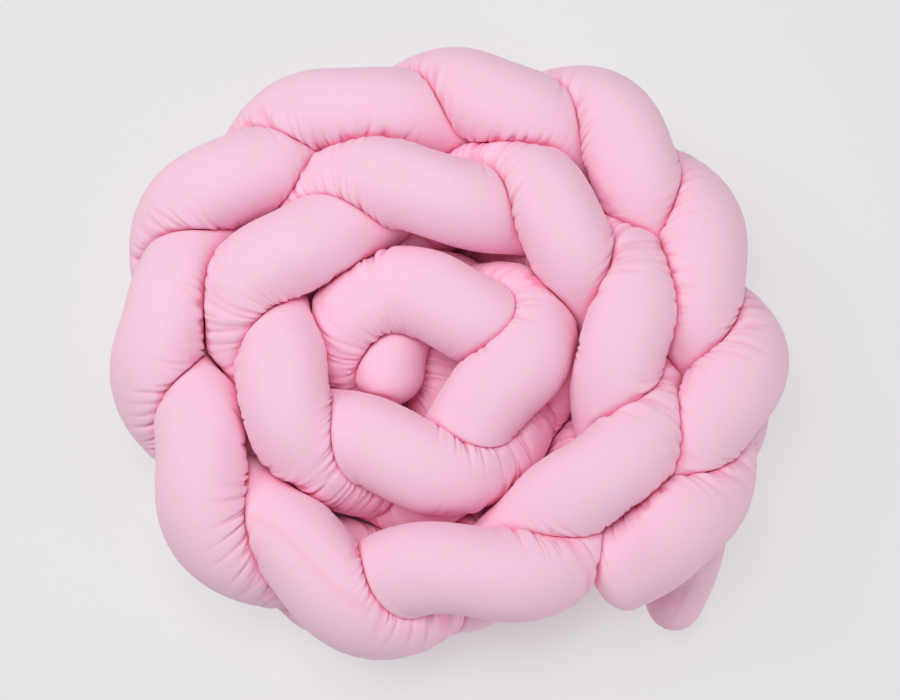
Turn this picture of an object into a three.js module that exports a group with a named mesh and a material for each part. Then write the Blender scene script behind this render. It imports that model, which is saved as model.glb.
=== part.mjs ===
import * as THREE from "three";

// A crib bumper: three stuffed cotton tubes in an ordinary three-strand plait, laid down as a coil.
// The plait stands on its edge: each tube climbs to the top, crosses over, dives and runs along the floor.
// Millimetres, +Z up, the floor at z = 0 and the coil's middle over the origin.

// A stuffed tube, and how high its middle runs over the floor.
const TUBE_RADIUS = 41.5;
const CROSSING_HEIGHT = 146;
const FOOT_HEIGHT = 33;
// The swing of a tube to each side of the plait's line, where the crossings below give no other.
const SWING = 18;
// Where tubes press together, their sections flatten about this far apart, and swell up to BULGE elsewhere.
const CLEARANCE = 4.7;
const FLATNESS = 8;
const BULGE = 1.08;
// Each end is rounded over END_ROUND and thins towards it over END_TAPER.
const END_ROUND = 30;
const END_TAPER = 130;

// How finely a tube is shaped: sides of its section, sections along it, and rows of each rounded end.
const SIDES = 12;
const SECTIONS = 207;
const END_ROWS = 4;
// How finely its middle line is followed, in crossings and then in length, and how often that line is eased
// so that no bend kinks.
const COUNT_STEP = 0.25;
const HEADING_STEP = 0.02;
const ROUTE_STEP = 8;
const EASING_ROUNDS = 10;
const SAMPLES_PER_POINT = 20;
// A tube feels its neighbours out to this far, and its own other turns past this much of its length.
const NEIGHBOUR_REACH = 4 * TUBE_RADIUS;
const OWN_LENGTH = 110;
const GIRTH_ROUNDS = 6;
// However hard it is pressed, a section keeps this much of its reach.
const LEAST_REACH = 5;
const UPRIGHT = new THREE.Vector3(0, 0, 1);

// The crossings on top of the coil, from its middle outwards: each one's middle, the tube's swing outwards
// before it (start) and inwards after it (finish), how far the plait's foot stands further in (lean), how much
// later than the swing, in crossings, the tubes dive and climb between it and the next (lag), which lays the
// one over the other, and how far it stands above CROSSING_HEIGHT (rise).
const CROSSINGS = [
  { x: -22, y: 49, start: 18, finish: 14, lean: 0, lag: 0.2, rise: 0 },
  { x: 77, y: -16, start: 28, finish: 18, lean: 0, lag: 0.2, rise: 0 },
  { x: -26, y: -124, start: 22, finish: 18, lean: 0, lag: 0.13, rise: 0 },
  { x: -160, y: -59, start: 18, finish: 18, lean: 0, lag: 0.03, rise: 6 },
  { x: -179, y: 74, start: 23, finish: 18, lean: 0, lag: 0.13, rise: 10 },
  { x: -45, y: 151, start: 28, finish: 18, lean: 0, lag: 0.12, rise: 16 },
  { x: 103, y: 124, start: 26, finish: 18, lean: 0, lag: 0.05, rise: 14 },
  { x: 172, y: 13, start: 26, finish: 18, lean: 0, lag: 0.06, rise: 14 },
  { x: 156, y: -123, start: 18, finish: 13, lean: 0, lag: 0.04, rise: 16 },
  { x: 28, y: -222, start: 28, finish: 22, lean: 10, lag: 0.15, rise: 16 },
  { x: -111, y: -236, start: 18, finish: 18, lean: 14, lag: 0.06, rise: 0 },
  { x: -236, y: -125, start: 32, finish: 20, lean: 14, lag: 0.08, rise: 0 },
  { x: -274, y: 8, start: 18, finish: 0, lean: 8, lag: 0.14, rise: 0 },
  { x: -231, y: 153, start: 22, finish: 14, lean: 8, lag: 0.05, rise: 0 },
  { x: -104, y: 230, start: 18, finish: 3, lean: 8, lag: 0.11, rise: 0 },
  { x: 41, y: 241, start: 18, finish: 8, lean: 8, lag: 0.07, rise: 0 },
  { x: 174, y: 203, start: 20, finish: 18, lean: 8, lag: 0.06, rise: 0 },
  { x: 244, y: 75, start: 20, finish: 18, lean: 8, lag: 0.06, rise: 0 },
  { x: 266, y: -54, start: 23, finish: 18, lean: 0, lag: 0.09, rise: 0 },
  { x: 206, y: -180, start: 18, finish: 18, lean: 0, lag: 0.1, rise: 0 },
];
// Where the plait's line comes from before the first crossing, and where it heads after the last.
const LEAD_IN = [{ x: -25, y: -77 }, { x: -88, y: -24 }];
const LEAD_OUT = [{ x: 145, y: -286 }, { x: 48, y: -332 }];

// The tubes. Counted in crossings, each is plaited from one count to another, and runs on to its two loose
// ends, whose points are in the order of its length. An end's girth is its share of the full tube's.
const TUBES = [
  {
    name: "first_tube",
    from: -0.25,
    to: 18.75,
    innerGirth: 0.8,
    innerEnd: [
      { x: -70, y: -50, z: 44 },
      { x: -99, y: -27, z: 66 },
      { x: -107, y: 7, z: 98 },
      { x: -90, y: 39, z: 124 },
    ],
    outerGirth: 0.66,
    outerEnd: [
      { x: 240, y: -208, z: 46 },
      { x: 232, y: -240, z: 34 },
      { x: 218, y: -277, z: 30 },
    ],
  },
  {
    name: "second_tube",
    from: 0.5,
    to: 19,
    innerGirth: 0.8,
    innerEnd: [
      { x: -42, y: -64, z: 42 },
      { x: -16, y: -51, z: 43 },
      { x: -8, y: -30, z: 45 },
      { x: -5, y: 0, z: 51 },
      { x: 6, y: 30, z: 68 },
    ],
    outerGirth: 1.14,
    outerEnd: [
      { x: 196, y: -196, z: 130 },
      { x: 168, y: -208, z: 116 },
      { x: 136, y: -217, z: 104 },
    ],
  },
  {
    name: "third_tube",
    from: 0,
    to: 19,
    innerGirth: 0.78,
    innerEnd: [
      { x: -59, y: -57, z: 94 },
      { x: -62, y: -19, z: 106 },
      { x: -57, y: 22, z: 93 },
    ],
    outerGirth: 0.8,
    outerEnd: [],
  },
];
const CLOTH = { color: 0xf2bdd6, roughness: 0.9, metalness: 0 };

// A smooth curve through points, evenly spaced in the curve's own count.
function curveThrough(points) {
  return new THREE.CatmullRomCurve3(points, false, "catmullrom", 0.5);
}

const spot = ({ x, y, z = 0 }) => new THREE.Vector3(x, y, z);
const plaitLine = curveThrough([...LEAD_IN, ...CROSSINGS, ...LEAD_OUT].map(spot));

// The point of the plait's line at a count of crossings, the first crossing being 0.
function linePoint(count) {
  return plaitLine.getPoint((count + LEAD_IN.length) / (plaitLine.points.length - 1));
}

// A column of the crossings at a count between rows.
function crossingValue(column, count) {
  const place = THREE.MathUtils.clamp(count, 0, CROSSINGS.length - 1);
  const row = Math.min(Math.floor(place), CROSSINGS.length - 2);
  return THREE.MathUtils.lerp(CROSSINGS[row][column], CROSSINGS[row + 1][column], place - row);
}

// A plaited tube's middle: it swings out and in once over each crossing and once along each foot.
function plaitPoint(tube, count) {
  const heading = linePoint(count + HEADING_STEP).sub(linePoint(count - HEADING_STEP)).normalize();
  const outward = new THREE.Vector3(-heading.y, heading.x, 0);
  const turn = (2 * Math.PI * (count - tube)) / TUBES.length;
  const late = (2 * Math.PI * crossingValue("lag", count - 0.5)) / TUBES.length;
  const raised = (1 + Math.cos(turn - late)) / 2;
  const upper = (1 + Math.cos(turn)) / 2;
  const crossing = tube + TUBES.length * Math.round((count - tube) / TUBES.length);
  const own = crossingValue(count < crossing ? "start" : "finish", crossing);
  const swing = -THREE.MathUtils.lerp(SWING, own, upper) * Math.sin(2 * turn);
  const lean = crossingValue("lean", count) * (1 - upper);
  const point = linePoint(count).addScaledVector(outward, swing - lean);
  point.z = THREE.MathUtils.lerp(FOOT_HEIGHT, CROSSING_HEIGHT + crossingValue("rise", crossing), raised);
  return point;
}

// The whole middle line of a tube as evenly spaced points, eased so that the stuffing doesn't kink.
function tubeRoute(tube) {
  const { from, to, innerEnd, outerEnd } = TUBES[tube];
  const points = innerEnd.map(spot);
  for (let count = from; count <= to; count += COUNT_STEP) {
    points.push(plaitPoint(tube, count));
  }
  points.push(...outerEnd.map(spot));
  const curve = curveThrough(points);
  curve.arcLengthDivisions = points.length * SAMPLES_PER_POINT;
  let route = curve.getSpacedPoints(Math.round(curve.getLength() / ROUTE_STEP));
  for (let round = 0; round < EASING_ROUNDS; round += 1) {
    route = route.map((point, i) => {
      if (i === 0 || i === route.length - 1) return point;
      return point.clone().multiplyScalar(2).add(route[i - 1]).add(route[i + 1]).multiplyScalar(0.25);
    });
  }
  const eased = curveThrough(route);
  eased.arcLengthDivisions = route.length * SAMPLES_PER_POINT;
  return eased;
}

const routes = TUBES.map((_, tube) => tubeRoute(tube));
const lengths = routes.map((route) => route.getLength());

// A tube's girth as a share of the full one: it thins towards its ends.
function girthShare(tube, along) {
  const { innerGirth, outerGirth } = TUBES[tube];
  const toEnd = Math.min(along, lengths[tube] - along);
  const endGirth = along < lengths[tube] / 2 ? innerGirth : outerGirth;
  return THREE.MathUtils.lerp(endGirth, 1, THREE.MathUtils.smoothstep(toEnd, 0, END_TAPER));
}

// The radius of a tube that nothing presses on, down to nothing at its rounded ends.
function freeRadius(tube, along) {
  const toEnd = Math.min(along, lengths[tube] - along);
  const open = 1 - THREE.MathUtils.clamp(toEnd / END_ROUND, 0, 1);
  return TUBE_RADIUS * girthShare(tube, along) * Math.sqrt(1 - open ** 2);
}

// Every tube's middle line as marks, each with the tube it is on, its place along it and its radius there.
const marks = routes.flatMap((route, tube) => {
  const steps = Math.round(lengths[tube] / ROUTE_STEP);
  return route.getSpacedPoints(steps).map((point, i) => {
    const along = (i * lengths[tube]) / steps;
    return { point, tube, along, radius: freeRadius(tube, along) };
  });
});

// The way across a tube to the side, and the way up, at right angles to its middle line.
function sectionAxes(route, share) {
  const tangent = route.getTangentAt(share);
  const side = new THREE.Vector3().crossVectors(tangent, UPRIGHT).normalize();
  const up = new THREE.Vector3().crossVectors(side, tangent);
  return { side, up };
}

// How far a section reaches each way, to the plane where a neighbour presses back and to the floor. The plane
// is halfway between two tubes of one size, and nearer to the thinner of two.
function sectionLimits(centre, tube, along, directions) {
  const radius = freeRadius(tube, along);
  const near = marks.filter((mark) => {
    const own = mark.tube === tube && Math.abs(mark.along - along) < OWN_LENGTH;
    return !own && mark.point.distanceTo(centre) < NEIGHBOUR_REACH;
  });
  const sides = near.map((mark) => {
    const way = mark.point.clone().sub(centre);
    return { way, room: (way.lengthSq() + radius ** 2 - mark.radius ** 2) / 2 };
  });
  return directions.map((direction) => {
    let pressed = Infinity;
    for (const { way, room } of sides) {
      const facing = way.dot(direction);
      if (facing > 0) pressed = Math.min(pressed, room / facing - CLEARANCE / 2);
    }
    const floor = direction.z < 0 ? -centre.z / direction.z : Infinity;
    return { pressed: Math.max(pressed, LEAST_REACH), floor };
  });
}

// The section's reach each way, for a tube that would have the radius given if nothing pressed on it.
function pressedRadii(limits, radius) {
  return limits.map(({ pressed, floor }) => {
    const soft = (radius ** -FLATNESS + pressed ** -FLATNESS) ** (-1 / FLATNESS);
    return Math.min(soft, floor);
  });
}

// The round radius that keeps the cloth's girth as the section is pressed, within what BULGE allows.
function swollenRadius(limits) {
  let radius = TUBE_RADIUS;
  for (let round = 0; round < GIRTH_ROUNDS; round += 1) {
    const radii = pressedRadii(limits, radius);
    const slice = (2 * Math.PI) / radii.length;
    const girth = radii.reduce((sum, reach, i) => {
      const next = radii[(i + 1) % radii.length];
      return sum + Math.sqrt(reach ** 2 + next ** 2 - 2 * reach * next * Math.cos(slice));
    }, 0);
    const wanted = (radius * 2 * Math.PI * TUBE_RADIUS) / girth;
    radius = THREE.MathUtils.clamp(wanted, TUBE_RADIUS, BULGE * TUBE_RADIUS);
  }
  return radius;
}

// A stuffed tube: a straight capsule bent along its route, each of its sections pressed by its neighbours.
function stuffedTube(tube) {
  const route = routes[tube];
  const length = lengths[tube];
  const geometry = new THREE.CapsuleGeometry(END_ROUND, length - 2 * END_ROUND, END_ROWS, SIDES, SECTIONS);
  const position = geometry.attributes.position;
  const perRow = SIDES + 1;
  for (let row = 0; row < position.count / perRow; row += 1) {
    const along = position.getY(row * perRow) + length / 2;
    const share = THREE.MathUtils.clamp(along / length, 0, 1);
    const centre = route.getPointAt(share);
    const { side, up } = sectionAxes(route, share);
    const directions = Array.from({ length: SIDES }, (_, i) => {
      const angle = (2 * Math.PI * i) / SIDES;
      return side.clone().multiplyScalar(-Math.cos(angle)).addScaledVector(up, Math.sin(angle));
    });
    const limits = sectionLimits(centre, tube, along, directions);
    const radii = pressedRadii(limits, swollenRadius(limits) * girthShare(tube, along));
    for (let i = 0; i < perRow; i += 1) {
      const vertex = row * perRow + i;
      const fullness = Math.hypot(position.getX(vertex), position.getZ(vertex)) / END_ROUND;
      const reach = directions[i % SIDES].clone().multiplyScalar(radii[i % SIDES] * fullness);
      position.setXYZ(vertex, ...reach.add(centre).toArray());
    }
  }
  geometry.computeVertexNormals();
  const mesh = new THREE.Mesh(geometry, new THREE.MeshStandardMaterial(CLOTH));
  mesh.name = TUBES[tube].name;
  return mesh;
}

const bumper = new THREE.Group();
TUBES.forEach((_, tube) => bumper.add(stuffedTube(tube)));

export default bumper;
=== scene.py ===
import math

import bmesh
import bpy
import numpy as np
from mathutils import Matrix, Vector


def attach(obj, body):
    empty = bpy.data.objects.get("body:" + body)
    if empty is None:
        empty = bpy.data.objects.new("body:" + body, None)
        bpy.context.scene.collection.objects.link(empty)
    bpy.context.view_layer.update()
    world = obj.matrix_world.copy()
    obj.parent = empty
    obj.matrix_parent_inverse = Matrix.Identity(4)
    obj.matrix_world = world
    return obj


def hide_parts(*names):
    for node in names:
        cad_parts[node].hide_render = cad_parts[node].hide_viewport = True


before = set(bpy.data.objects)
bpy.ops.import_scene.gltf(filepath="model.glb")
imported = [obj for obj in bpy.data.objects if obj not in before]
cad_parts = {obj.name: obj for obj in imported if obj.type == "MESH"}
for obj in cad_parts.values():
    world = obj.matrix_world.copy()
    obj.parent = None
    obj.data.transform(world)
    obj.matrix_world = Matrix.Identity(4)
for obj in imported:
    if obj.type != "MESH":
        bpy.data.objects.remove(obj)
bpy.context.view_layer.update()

# The plait: three stuffed tubes laid over each other in turn, as in a braid of three strands. It is set
# on its edge and wound from the middle outwards, clockwise seen from above, and lies there untied.
MM = 0.001
STRANDS = 3
TUBE_RADIUS = 41.5
CROSSING_HEIGHT = 146.0
FOOT_HEIGHT = 33.0
SWING = 18.0
# One row is one crossing of the coil, in millimetres: its place, how far its tube swings out before and
# in after it, the lean of its foot, the lag of its dive behind its swing, which lays it over the next,
# how much higher it stands, and the length of the gathers where it climbs over the tube before.
CROSSINGS = np.array([
    (-22, 49, 18, 14, 0, 0.2, 0, 24), (77, -16, 28, 18, 0, 0.2, 0, 34),
    (-26, -124, 22, 18, 0, 0.13, 0, 18), (-160, -59, 18, 18, 0, 0.03, 6, 14),
    (-179, 74, 23, 18, 0, 0.13, 10, 28), (-45, 151, 28, 18, 0, 0.12, 16, 20),
    (103, 124, 26, 18, 0, 0.05, 14, 20), (172, 13, 26, 18, 0, 0.06, 14, 36),
    (156, -123, 18, 13, 0, 0.04, 16, 18), (28, -222, 28, 22, 10, 0.15, 16, 24),
    (-111, -236, 18, 18, 14, 0.06, 0, 34), (-236, -125, 32, 20, 14, 0.08, 0, 32),
    (-274, 8, 18, 0, 8, 0.14, 0, 24), (-231, 153, 22, 14, 8, 0.05, 0, 20),
    (-104, 230, 18, 3, 8, 0.11, 0, 18), (41, 241, 18, 8, 8, 0.07, 0, 18),
    (174, 203, 20, 18, 8, 0.06, 0, 20), (244, 75, 20, 18, 8, 0.06, 0, 34),
    (266, -54, 23, 18, 0, 0.09, 0, 30), (206, -180, 18, 18, 0, 0.1, 0, 32),
], float)
SWING_BEFORE, SWING_AFTER, FOOT_LEAN, DIVE_LAG, EXTRA_HEIGHT, GATHER_REACH = CROSSINGS[:, 2:].T
LEAD_IN = np.array([(-25, -77), (-88, -24)], float)
LEAD_OUT = np.array([(145, -286), (48, -332)], float)
PLAIT_LINE = np.vstack([LEAD_IN, CROSSINGS[:, :2], LEAD_OUT])
LAG_BACK = 0.5
COUNT_STEP = 0.25
HEADING_STEP = 0.02
EASED_STEP = 8.0
EASING_ROUNDS = 10
SAMPLES_PER_POINT = 20


def unit(vectors):
    return vectors / np.linalg.norm(vectors, axis=-1, keepdims=True)


def smooth_line(points, places):
    """The smooth line through the points, at places counted in points."""
    held = np.vstack([2 * points[0] - points[1], points, 2 * points[-1] - points[-2]])
    places = np.clip(places, 0, len(points) - 1)
    first = np.minimum(places.astype(int), len(points) - 2)
    part = (places - first)[:, None]
    a, b, c, d = (held[first + k] for k in range(4))
    bend = 2 * a - 5 * b + 4 * c - d + part * (3 * b - a - 3 * c + d)
    return b + 0.5 * part * (c - a + part * bend)


def even_steps(points, step):
    """Points at even steps of length along the smooth line through the points."""
    fine = smooth_line(points, np.linspace(0, len(points) - 1, len(points) * SAMPLES_PER_POINT))
    run = np.concatenate([[0], np.cumsum(np.linalg.norm(np.diff(fine[:, :3], axis=0), axis=1))])
    places = np.linspace(0, run[-1], round(run[-1] / step) + 1)
    return np.column_stack([np.interp(places, run, column) for column in fine.T])


def plait_line(count):
    return smooth_line(PLAIT_LINE, count + len(LEAD_IN))


def strand_points(strand, count):
    """Where a strand's middle runs in the plait, at counts of crossings from the coil's middle."""
    heading = unit(plait_line(count + HEADING_STEP) - plait_line(count - HEADING_STEP))
    outward = np.stack([-heading[:, 1], heading[:, 0]], 1)
    turn = 2 * math.pi * (count - strand) / STRANDS
    raised = (1 + np.cos(turn)) / 2
    crossing = strand + STRANDS * np.round((count - strand) / STRANDS)
    counted = np.arange(len(CROSSINGS))
    before = np.interp(crossing, counted, SWING_BEFORE)
    after = np.interp(crossing, counted, SWING_AFTER)
    swing = SWING + (np.where(count < crossing, before, after) - SWING) * raised
    lean = np.interp(count, counted, FOOT_LEAN) * (1 - raised)
    sideways = -swing * np.sin(2 * turn) - lean
    late = 2 * math.pi * np.interp(count - LAG_BACK, counted, DIVE_LAG) / STRANDS
    top = CROSSING_HEIGHT + np.interp(crossing, counted, EXTRA_HEIGHT)
    height = FOOT_HEIGHT + (top - FOOT_HEIGHT) * (1 + np.cos(turn - late)) / 2
    return np.column_stack([plait_line(count) + outward * sideways[:, None], height])


# The three tubes: each a long strip of pink cotton, sewn along its edge, closed at both ends and
# filled with soft wadding. Pressed on each other they flatten where they touch and swell elsewhere,
# and where a tube climbs over the one before, its slack cloth draws up into fine gathers.
TUBES = {
    "first_tube": dict(
        counts=(-0.25, 18.75), inner_girth=0.8, outer_girth=0.66,
        inner_end=[(-70, -50, 44), (-99, -27, 66), (-107, 7, 98), (-90, 39, 124)],
        outer_end=[(240, -208, 46), (232, -240, 34), (218, -277, 30)],
        seam=[(-2, -90), (17.2, -90), (18.6, 90), (20, 90)]),
    "second_tube": dict(
        counts=(0.5, 19.0), inner_girth=0.8, outer_girth=1.14,
        inner_end=[(-42, -64, 42), (-16, -51, 43), (-8, -30, 45), (-5, 0, 51), (6, 30, 68)],
        outer_end=[(196, -196, 130), (168, -208, 116), (136, -217, 104)],
        seam=[(-2, -90), (8.2, -90), (9.6, 80), (10.6, 97), (12, 270), (20, 270)]),
    "third_tube": dict(
        counts=(0.0, 19.0), inner_girth=0.78, outer_girth=0.8,
        inner_end=[(-59, -57, 94), (-62, -19, 106), (-57, 22, 93)],
        outer_end=[],
        seam=[(-2, -90), (20, -90)]),
}
COLUMNS = 66
ROW_STEP = 1.3
MARK_EVERY = 4
BULGE = 1.08
GIRTH_ROUNDS = 6
GIRTH_EASE = 22.0
END_ROUND = 30.0
END_TAPER = 130.0
CLEARANCE = 0.5
SEAM_EASE = 70.0
PRESSED_EDGE = 6.0
LEAST_RADIUS = 5.0
NEIGHBOUR_REACH = 4 * TUBE_RADIUS
OWN_LENGTH = 110.0
FAR = 1e6
LEAST_RUN = 1e-6


def tube_route(strand, tube):
    """Middle of one tube in even rows: x, y, z and the count of crossings at each row."""
    first, last = tube["counts"]
    count = np.arange(first, last + COUNT_STEP / 2, COUNT_STEP)
    inner = np.array(tube["inner_end"], float).reshape(-1, 3)
    outer = np.array(tube["outer_end"], float).reshape(-1, 3)
    places = np.vstack([inner, strand_points(strand, count), outer])
    before = first - COUNT_STEP * np.arange(len(inner), 0, -1)
    after = count[-1] + COUNT_STEP * np.arange(1, len(outer) + 1)
    counted = np.column_stack([places, np.concatenate([before, count, after])])
    eased = even_steps(counted, EASED_STEP)
    for _ in range(EASING_ROUNDS):
        eased[1:-1] = eased[1:-1] / 2 + (eased[:-2] + eased[2:]) / 4
    return even_steps(eased, ROW_STEP)


def smooth_step(value, low, high):
    part = np.clip((value - low) / (high - low), 0, 1)
    return part * part * (3 - 2 * part)


def soft_least(a, b, edge):
    """The lesser of two lengths, rounded off where they are within an edge of each other."""
    near = np.clip(1 - np.abs(a - b) / edge, 0, 1)
    return np.minimum(a, b) - near * near * edge / 4


def rolling_mean(values, width):
    """Mean over a number of rows to each side, the end rows repeated."""
    padded = np.concatenate([np.repeat(values[:1], width, 0), values, np.repeat(values[-1:], width, 0)])
    total = np.cumsum(np.concatenate([np.zeros_like(padded[:1]), padded]), axis=0)
    return (total[2 * width + 1:] - total[:-2 * width - 1]) / (2 * width + 1)


def length_to_end(rows):
    return np.minimum(np.arange(rows), np.arange(rows)[::-1]) * ROW_STEP


def end_shares(tube, rows):
    """A tube's girth and its fullness at each row, as shares: it thins towards its ends and rounds off."""
    to_end = length_to_end(rows)
    end_girth = np.where(np.arange(rows) < rows / 2, tube["inner_girth"], tube["outer_girth"])
    girth = end_girth + (1 - end_girth) * smooth_step(to_end, 0, END_TAPER)
    return girth, np.sqrt(1 - (1 - np.clip(to_end / END_ROUND, 0, 1)) ** 2)


routes = [tube_route(strand, tube) for strand, tube in enumerate(TUBES.values())]
girths = [
    TUBE_RADIUS * np.prod(end_shares(tube, len(route)), axis=0)
    for tube, route in zip(TUBES.values(), routes)
]
marked = [np.arange(0, len(route), MARK_EVERY) for route in routes]
marks = np.vstack([route[rows, :3] for route, rows in zip(routes, marked)])
mark_owner = np.concatenate([np.full(len(rows), strand) for strand, rows in enumerate(marked)])
mark_run = np.concatenate(marked) * ROW_STEP
mark_radius = np.concatenate([girth[rows] for girth, rows in zip(girths, marked)])


def section_rays(route, tube):
    """Directions from each row's middle to its columns, starting at the tube's long seam."""
    along = unit(np.gradient(route[:, :3], axis=0))
    side = unit(np.cross(along, (0, 0, 1)))
    up = np.cross(side, along)
    counts, degrees = zip(*tube["seam"])
    seam = rolling_mean(np.radians(np.interp(route[:, 3], counts, degrees)), round(SEAM_EASE / ROW_STEP))
    angle = seam[:, None] + np.linspace(0, 2 * math.pi, COLUMNS, endpoint=False)
    rays = np.cos(angle)[..., None] * side[:, None] + np.sin(angle)[..., None] * up[:, None]
    return along, rays


def room(strand, centre, rays):
    """How far each ray runs before a neighbouring tube presses back: half way, or nearer to the thinner."""
    found = np.full(rays.shape[:2], FAR)
    for row, middle in enumerate(centre):
        other = (mark_owner != strand) | (np.abs(mark_run - row * ROW_STEP) > OWN_LENGTH)
        apart = marks[other] - middle
        square = (apart * apart).sum(1)
        near = square < NEIGHBOUR_REACH ** 2
        share = square[near] + girths[strand][row] ** 2 - mark_radius[other][near] ** 2
        towards = rays[row] @ apart[near].T
        meeting = np.where(towards > LEAST_RUN, share / np.maximum(2 * towards, LEAST_RUN), FAR)
        found[row] = meeting.min(1) - CLEARANCE / 2
    return np.maximum(found, LEAST_RADIUS)


def stuffed_radius(tube, route, rays, limit):
    """Free radius of each row, each ray's way to the floor, and its radius under the others' pressure."""
    down = -rays[..., 2]
    floor = np.where(down > LEAST_RUN, route[:, None, 2] / np.maximum(down, LEAST_RUN), FAR)
    angle = np.linspace(0, 2 * math.pi, COLUMNS, endpoint=False)
    circle = np.stack([np.cos(angle), np.sin(angle)], 1)
    free = np.full(len(route), TUBE_RADIUS)
    for _ in range(GIRTH_ROUNDS):
        points = np.minimum(soft_least(free[:, None], limit, PRESSED_EDGE), floor)[..., None] * circle
        girth = np.linalg.norm(points - np.roll(points, 1, axis=1), axis=2).sum(1)
        free = np.clip(free * 2 * math.pi * TUBE_RADIUS / girth, TUBE_RADIUS, BULGE * TUBE_RADIUS)
    free = rolling_mean(free, round(GIRTH_EASE / ROW_STEP))
    girth, fullness = end_shares(tube, len(route))
    free = free * girth
    pressed = np.minimum(soft_least(free[:, None], limit, PRESSED_EDGE), floor)
    return free, floor, pressed * fullness[:, None]


def spline_weights(places, knots, closed):
    """Weights of evenly spaced knots at places counted in knots, for a soft random surface."""
    weights = np.zeros((len(places), knots))
    first = np.floor(places).astype(int)
    part = places - first
    shares = ((1 - part) ** 3, 3 * part ** 3 - 6 * part ** 2 + 4,
              -3 * part ** 3 + 3 * part ** 2 + 3 * part + 1, part ** 3)
    for k, share in enumerate(shares):
        knot = first + k - 1
        knot = knot % knots if closed else np.clip(knot, 0, knots - 1)
        weights[np.arange(len(places)), knot] += share / 6
    return weights


FEWEST_KNOTS = 4


def soft_noise(random, rows, grain_along, grain_round):
    """Random swells and hollows over the rows and columns of a tube, of mean size one."""
    knots_along = int(rows * ROW_STEP / grain_along) + 3
    knots_round = max(FEWEST_KNOTS, round(2 * math.pi * TUBE_RADIUS / grain_round))
    lattice = random.normal(size=(knots_along, knots_round))
    along = spline_weights(np.arange(rows) * ROW_STEP / grain_along, knots_along, False)
    around = spline_weights(np.arange(COLUMNS) * knots_round / COLUMNS, knots_round, True)
    field = along @ lattice @ around.T
    return field / field.std()


# Where cloth is drawn up: by a climb, counted in crossings, deep in the coil, and inside a bend.
DRAWN_SPAN = (-0.3, 0.3)
PINCHED_SPAN = (-0.8, 0.0)
DEEP_HEIGHTS = (110.0, 70.0)
CLIMB_PULL = 0.8
BEND_PULL = 0.6
BEND_LENGTH = 12.0
CREASE_REACH = 60.0
NEAR_TOUCH = 2.5
OPEN_SPAN = (-9.0, -1.0)
# Gathers run away from a crease, puckers sit right at it, pleats at the closed ends.
GATHER_PULLS = (0.1, 0.7)
GATHER_LEAD = 0.6
GATHER_GRAIN = 4.6
GATHER_LENGTH = 70.0
GATHER_DEPTH = 4.0
GATHER_WIDTH = 0.4
RIDGE_SHARE = 0.5
PATCH = 45.0
PATCH_LEAST = 0.65
PATCH_SPAN = (-1.2, 0.8)
PUCKER_PULLS = (0.0, 0.5)
PUCKER_GRAIN = 4.0
PUCKER_LENGTH = 40.0
PUCKER_DEPTH = 4.2
PUCKER_WIDTH = 0.24
PUCKER_FADE = 8.0
PLEAT_GRAIN = 7.0
PLEAT_LENGTH = 60.0
PLEAT_DEPTH = 2.0
PLEAT_WIDTH = 0.35
PLEAT_FADE = 14.0
WADDING_LUMP = 55.0
WADDING_RISE = 0.6
SEAM_DEPTH = 0.7
# Painted shade: how much deeper the colour is made in a crease, in the folds and along the sunken seam,
# where shade falls.
CREASE_SHADE = 0.45
CREASE_WIDTH = 1.2
PUCKER_SHADE = 1.4
FOLD_POWER = 1.5
SEAM_SHADES = (0.12, 0.35, 0.12)


def crease_distance(pressed):
    """How far over the cloth each point lies from where a neighbour presses on it."""
    away = np.where(pressed, 0.0, FAR)
    column_step = 2 * math.pi * TUBE_RADIUS / COLUMNS
    for _ in range(round(CREASE_REACH / ROW_STEP)):
        for turn in (-1, 1):
            away = np.minimum(away, np.roll(away, turn, axis=1) + column_step)
        away[1:] = np.minimum(away[1:], away[:-1] + ROW_STEP)
        away[:-1] = np.minimum(away[:-1], away[1:] + ROW_STEP)
    return away


def valleys(random, rows, grain, length, width):
    """Sharp valleys between rounded ridges running around the tube: 1 in a valley, 0 on a ridge."""
    return np.exp(-np.abs(soft_noise(random, rows, grain, length)) / width)


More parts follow.
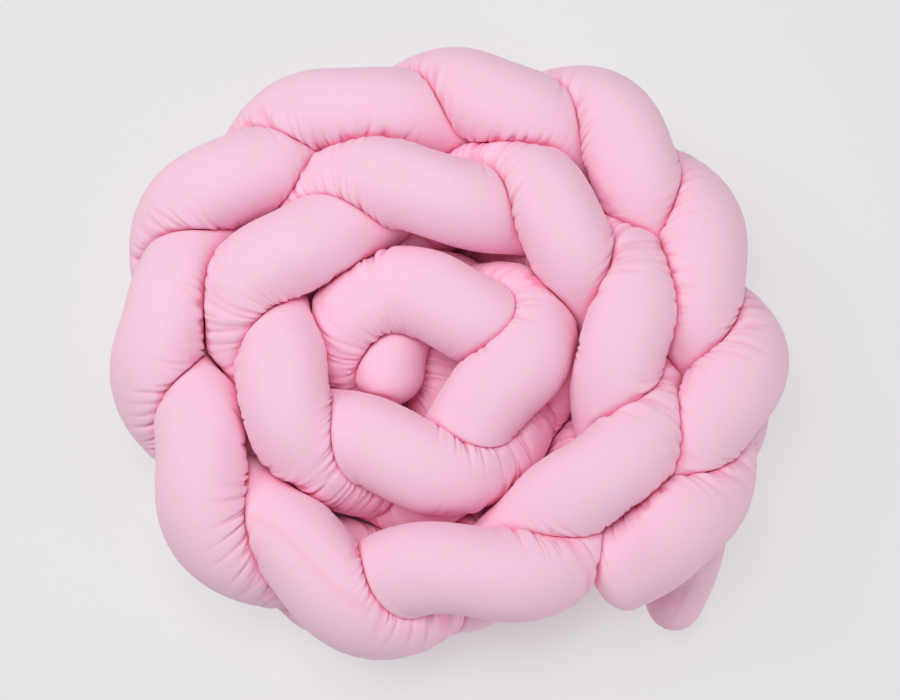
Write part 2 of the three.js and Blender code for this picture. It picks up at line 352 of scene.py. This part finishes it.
def slack_cloth(random, strand, route, along, rays, free, limit, radius):
    """Rise and fall of the cloth, and the painted shade that deepens its colour in creases, folds and along
    the seam. Cloth is drawn up where a tube climbs to its crossing and bends round the one before:
    gathers there, puckers at the crease, few further on."""
    rows = len(along)
    count = route[:, 3]
    places = (count - strand) / STRANDS
    before = STRANDS * (np.round(places) - places)
    deep = smooth_step(route[:, 2], *DEEP_HEIGHTS)
    drawn = np.maximum(smooth_step(before, *DRAWN_SPAN), deep)[:, None]
    pinched = np.maximum(smooth_step(before, *PINCHED_SPAN), deep)[:, None]
    own = np.arange(strand, len(CROSSINGS), STRANDS)
    reach = np.interp(count + GATHER_LEAD, own, GATHER_REACH[own])[:, None]
    turning = rolling_mean(np.gradient(along, axis=0) / ROW_STEP, round(BEND_LENGTH / ROW_STEP))
    bend = radius * np.einsum("rcx,rx->rc", rays, turning)
    pulled = smooth_step(CLIMB_PULL * drawn + BEND_PULL * bend, *GATHER_PULLS)
    apart = limit - free[:, None]
    beside = crease_distance(apart < NEAR_TOUCH)
    patch = smooth_step(soft_noise(random, rows, PATCH, PATCH), *PATCH_SPAN)
    patch = PATCH_LEAST + (1 - PATCH_LEAST) * patch
    gathered = pulled * patch * np.exp(-(beside / reach) ** 2)
    gathers = gathered * valleys(random, rows, GATHER_GRAIN, GATHER_LENGTH, GATHER_WIDTH)
    puckered = smooth_step(CLIMB_PULL * pinched + BEND_PULL * bend, *PUCKER_PULLS)
    puckers = puckered * np.exp(-beside / PUCKER_FADE)
    puckers = puckers * valleys(random, rows, PUCKER_GRAIN, PUCKER_LENGTH, PUCKER_WIDTH)
    lumps = WADDING_RISE * soft_noise(random, rows, WADDING_LUMP, WADDING_LUMP)
    rise = GATHER_DEPTH * (RIDGE_SHARE * gathered - gathers) - PUCKER_DEPTH * puckers
    # Painted shade: the colour is deepened along each crease where a neighbour presses, in the gather
    # valleys and at the puckers.
    crease = CREASE_SHADE * np.exp(-(np.maximum(apart, 0) / CREASE_WIDTH) ** 2)
    fold_shade = crease + gathers ** FOLD_POWER + PUCKER_SHADE * puckers
    rise[:, 0] -= SEAM_DEPTH
    # Painted shade along the sunken seam.
    fold_shade[:, (-1, 0, 1)] += SEAM_SHADES
    to_end = length_to_end(rows)[:, None]
    pleats = np.exp(-to_end / PLEAT_FADE) * valleys(random, rows, PLEAT_LENGTH, PLEAT_GRAIN, PLEAT_WIDTH)
    rise = smooth_step(to_end, 0, END_ROUND) * (smooth_step(apart, *OPEN_SPAN) * rise + lumps)
    rise -= PLEAT_DEPTH * pleats * radius / TUBE_RADIUS
    # The pleat valleys at the closed ends get painted shade too.
    return rise, fold_shade + pleats ** FOLD_POWER


WEAVE_SHARE = 0.5
SLUB_SCALE = 0.11
SLUB_DETAIL = 4


def cotton_weave():
    """Plain weave: threads over and under each other, and the slubs along them."""
    group = bpy.data.node_groups.new("cotton_weave", "ShaderNodeTree")
    group.interface.new_socket("Cloth", in_out="INPUT", socket_type="NodeSocketVector")
    group.interface.new_socket("Height", in_out="OUTPUT", socket_type="NodeSocketFloat")
    group.interface.new_socket("Slub", in_out="OUTPUT", socket_type="NodeSocketFloat")
    nodes, link = group.nodes, group.links.new
    cloth = nodes.new("NodeGroupInput")
    result = nodes.new("NodeGroupOutput")
    split = nodes.new("ShaderNodeSeparateXYZ")
    link(cloth.outputs["Cloth"], split.inputs[0])

    def math_node(kind, *values):
        node = nodes.new("ShaderNodeMath")
        node.operation = kind
        for socket, value in zip(node.inputs, values):
            if isinstance(value, bpy.types.NodeSocket):
                link(value, socket)
            else:
                socket.default_value = value
        return node.outputs[0]

    warp = math_node("SINE", math_node("MULTIPLY", split.outputs["X"], math.pi))
    weft = math_node("SINE", math_node("MULTIPLY", split.outputs["Y"], math.pi))
    over = math_node("MULTIPLY", warp, weft)
    link(math_node("MULTIPLY_ADD", over, WEAVE_SHARE, WEAVE_SHARE), result.inputs["Height"])
    slub = nodes.new("ShaderNodeTexNoise")
    slub.inputs["Scale"].default_value = SLUB_SCALE
    slub.inputs["Detail"].default_value = SLUB_DETAIL
    link(cloth.outputs["Cloth"], slub.inputs["Vector"])
    link(slub.outputs["Fac"], result.inputs["Slub"])
    return group


COTTON_LIGHT = (0.975, 0.635, 0.80, 1)
# The deeper pink serves both for the random tone of the dye and for the painted shade in creases and folds.
COTTON_DEEP_AND_SHADE = (0.98, 0.47, 0.64, 1)
NAP_TINT = (1.0, 0.85, 0.92, 1)
NAP = 0.25
NAP_SPREAD = 0.5
DRYNESS = 0.85
GLOSS = 0.25
THREAD_PITCH = 0.45
CLOTH_LENGTH = 3480.0
DYE_SCALE = 9.0
DYE_DETAIL = 3
DYE_SHARE = 0.2
SLUB_DARK = 0.97
SLUB_PALE = 1.02
THREAD_BUMP = 0.35
THREAD_RISE = 0.1


def pink_cotton():
    """Dyed cotton cloth: a soft dry finish with a faint nap, and painted shade deepening its colour in its
    creases and folds.
    """
    material = bpy.data.materials.new("pink_cotton")
    material.use_nodes = True
    nodes, link = material.node_tree.nodes, material.node_tree.links.new
    shader = nodes["Principled BSDF"]
    shader.inputs["Roughness"].default_value = DRYNESS
    shader.inputs["Specular IOR Level"].default_value = GLOSS
    shader.inputs["Sheen Weight"].default_value = NAP
    shader.inputs["Sheen Roughness"].default_value = NAP_SPREAD
    shader.inputs["Sheen Tint"].default_value = NAP_TINT
    strip = nodes.new("ShaderNodeUVMap")
    strip.uv_map = "cloth"
    to_threads = nodes.new("ShaderNodeMapping")
    threads_round = 2 * math.pi * TUBE_RADIUS / THREAD_PITCH
    to_threads.inputs["Scale"].default_value = (threads_round, CLOTH_LENGTH / THREAD_PITCH, 1)
    link(strip.outputs["UV"], to_threads.inputs["Vector"])
    weave = nodes.new("ShaderNodeGroup")
    weave.node_tree = cotton_weave()
    link(to_threads.outputs["Vector"], weave.inputs["Cloth"])
    place = nodes.new("ShaderNodeTexCoord")
    dye = nodes.new("ShaderNodeTexNoise")
    dye.inputs["Scale"].default_value = DYE_SCALE
    dye.inputs["Detail"].default_value = DYE_DETAIL
    link(place.outputs["Object"], dye.inputs["Vector"])
    # Painted shade from the points: the colour deepens in creases, folds and along the seam.
    folds = nodes.new("ShaderNodeAttribute")
    folds.attribute_name = "fold_shade"
    # Random dye tone and painted shade together set how far the colour goes towards the deeper pink.
    depth = nodes.new("ShaderNodeMath")
    depth.operation = "MULTIPLY_ADD"
    depth.inputs[1].default_value = DYE_SHARE
    link(dye.outputs["Fac"], depth.inputs[0])
    link(folds.outputs["Fac"], depth.inputs[2])
    colour = nodes.new("ShaderNodeMix")
    colour.data_type = "RGBA"
    colour.inputs["A"].default_value = COTTON_LIGHT
    colour.inputs["B"].default_value = COTTON_DEEP_AND_SHADE
    link(depth.outputs[0], colour.inputs["Factor"])
    slubbed = nodes.new("ShaderNodeMix")
    slubbed.data_type = "RGBA"
    slubbed.blend_type = "MULTIPLY"
    slubbed.inputs["Factor"].default_value = 1.0
    shade = nodes.new("ShaderNodeMapRange")
    shade.inputs["To Min"].default_value = SLUB_DARK
    shade.inputs["To Max"].default_value = SLUB_PALE
    link(weave.outputs["Slub"], shade.inputs["Value"])
    link(colour.outputs["Result"], slubbed.inputs["A"])
    link(shade.outputs["Result"], slubbed.inputs["B"])
    link(slubbed.outputs["Result"], shader.inputs["Base Color"])
    bump = nodes.new("ShaderNodeBump")
    bump.inputs["Strength"].default_value = THREAD_BUMP
    bump.inputs["Distance"].default_value = THREAD_RISE * MM
    link(weave.outputs["Height"], bump.inputs["Height"])
    link(bump.outputs["Normal"], shader.inputs["Normal"])
    return material


SEWN_GAP = 0.01


def sewn_tube(name, points, fold_shade):
    """A strip of cloth laid to the tube's rows and columns, sewn along its edge and closed at its ends."""
    rows = len(points)
    strip = bmesh.new()
    strip.loops.layers.uv.new("cloth")
    bmesh.ops.create_grid(strip, x_segments=COLUMNS, y_segments=rows - 1, size=0.5, calc_uvs=True)
    mesh = bpy.data.meshes.new(name)
    strip.to_mesh(mesh)
    strip.free()
    edge_to_edge = np.concatenate([points, points[:, :1]], axis=1) * MM
    mesh.vertices.foreach_set("co", edge_to_edge.astype(np.float32).ravel())
    depth = np.concatenate([fold_shade, fold_shade[:, :1]], axis=1)
    # The painted shade of creases, folds and seam, kept on the points for the cloth's colour.
    layer = mesh.attributes.new("fold_shade", "FLOAT", "POINT")
    layer.data.foreach_set("value", depth.astype(np.float32).ravel())
    tube = bmesh.new()
    tube.from_mesh(mesh)
    bmesh.ops.remove_doubles(tube, verts=tube.verts, dist=SEWN_GAP * MM)
    bmesh.ops.recalc_face_normals(tube, faces=tube.faces)
    for face in tube.faces:
        face.smooth = True
    tube.to_mesh(mesh)
    tube.free()
    piece = bpy.data.objects.new(name, mesh)
    bpy.context.scene.collection.objects.link(piece)
    return piece


SEED = 31
cotton = pink_cotton()
for strand, (node, tube) in enumerate(TUBES.items()):
    route = routes[strand]
    random = np.random.default_rng(SEED + strand)
    along, rays = section_rays(route, tube)
    limit = room(strand, route[:, :3], rays)
    free, floor, radius = stuffed_radius(tube, route, rays, limit)
    rise, fold_shade = slack_cloth(random, strand, route, along, rays, free, limit, radius)
    radius = np.minimum(np.minimum(radius + rise, limit), floor)
    points = route[:, None, :3] + radius[..., None] * rays
    piece = sewn_tube(f"stuffed_{node}", points, fold_shade)
    piece.data.materials.append(cotton)
    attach(piece, "root")
    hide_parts(node)

# The studio: a wide pale floor that glows a little around the object, three soft round lamps, far left,
# low at the near right and overhead, and the camera high above, tipped a little towards the near edge.
# The floor's glow is painted light: it lights the floor though it is no lamp, so the object's shadows
# on it stay faint.
FLOOR_HALF = 60.0
FLOOR_GLOW = 0.53
FLOOR_TINT = (1.0, 0.98, 1.0, 1)
FLOOR_ROUGHNESS = 0.9
TONE_UNDER = 0.85
TONE_AROUND = 0.30
DARK_RADIUS = 0.2
GLOW_RADIUS = 0.34
floor_shape = bmesh.new()
bmesh.ops.create_grid(floor_shape, x_segments=1, y_segments=1, size=FLOOR_HALF)
floor_mesh = bpy.data.meshes.new("floor")
floor_shape.to_mesh(floor_mesh)
floor_shape.free()
studio_floor = bpy.data.objects.new("floor", floor_mesh)
bpy.context.scene.collection.objects.link(studio_floor)
pale = bpy.data.materials.new("pale_floor")
pale.use_nodes = True
pale_nodes, pale_link = pale.node_tree.nodes, pale.node_tree.links.new
pale_shader = pale_nodes["Principled BSDF"]
pale_shader.inputs["Roughness"].default_value = FLOOR_ROUGHNESS
pale_shader.inputs["Emission Color"].default_value = FLOOR_TINT
floor_place = pale_nodes.new("ShaderNodeTexCoord")
from_middle = pale_nodes.new("ShaderNodeVectorMath")
from_middle.operation = "LENGTH"
pale_link(floor_place.outputs["Object"], from_middle.inputs[0])
# Painted light: the floor glows outside the coil and not under it.
glow = pale_nodes.new("ShaderNodeMapRange")
glow.interpolation_type = "SMOOTHSTEP"
glow.inputs["From Min"].default_value = DARK_RADIUS
glow.inputs["From Max"].default_value = GLOW_RADIUS
glow.inputs["To Max"].default_value = FLOOR_GLOW
pale_link(from_middle.outputs["Value"], glow.inputs["Value"])
pale_link(glow.outputs["Result"], pale_shader.inputs["Emission Strength"])
# The floor's own tone: pale under the coil, where it has no glow, and dim around it, where the glow makes
# it bright.
tone = pale_nodes.new("ShaderNodeMapRange")
tone.inputs["From Max"].default_value = FLOOR_GLOW
tone.inputs["To Min"].default_value = TONE_UNDER
tone.inputs["To Max"].default_value = TONE_AROUND
pale_link(glow.outputs["Result"], tone.inputs["Value"])
pale_link(tone.outputs["Result"], pale_shader.inputs["Base Color"])
floor_mesh.materials.append(pale)


def soft_lamp(name, place, width, watts):
    """A round soft lamp turned to the middle of the floor."""
    light = bpy.data.lights.new(name, "AREA")
    light.shape = "DISK"
    light.size = width
    light.energy = watts
    lamp = bpy.data.objects.new(name, light)
    lamp.location = place
    lamp.rotation_mode = "QUATERNION"
    lamp.rotation_quaternion = (-lamp.location).to_track_quat("-Z", "Y")
    bpy.context.scene.collection.objects.link(lamp)


soft_lamp("left_lamp", place=(-3.0, 1.3, 3.2), width=2.0, watts=44)
soft_lamp("right_lamp", place=(2.8, -1.8, 1.3), width=2.0, watts=26)
soft_lamp("top_lamp", place=(-0.25, 0.25, 1.9), width=0.9, watts=15.5)

ROOM_WHITE = (1, 1, 1, 1)
ROOM_LIGHT = 0.28
ROOM_BOUNCES = 12
world = bpy.data.worlds.new("white_room")
world.use_nodes = True
world.node_tree.nodes["Background"].inputs["Color"].default_value = ROOM_WHITE
world.node_tree.nodes["Background"].inputs["Strength"].default_value = ROOM_LIGHT
bpy.context.scene.world = world
bpy.context.scene.view_settings.view_transform = "Standard"
bpy.context.scene.cycles.diffuse_bounces = ROOM_BOUNCES

CAMERA_AIM = Vector((0.0, -1.9, 100.0)) * MM
CAMERA_TIP = math.radians(10)
CAMERA_DISTANCE = 1350 * MM
SENSOR_WIDTH = 36
FOCAL_LENGTH = 54
lens = bpy.data.cameras.new("camera")
lens.sensor_width = SENSOR_WIDTH
lens.lens = FOCAL_LENGTH
camera = bpy.data.objects.new("camera", lens)
camera.location = CAMERA_AIM + CAMERA_DISTANCE * Vector((0, -math.sin(CAMERA_TIP), math.cos(CAMERA_TIP)))
camera.rotation_euler = (CAMERA_TIP, 0, 0)
bpy.context.scene.collection.objects.link(camera)
bpy.context.scene.camera = camera
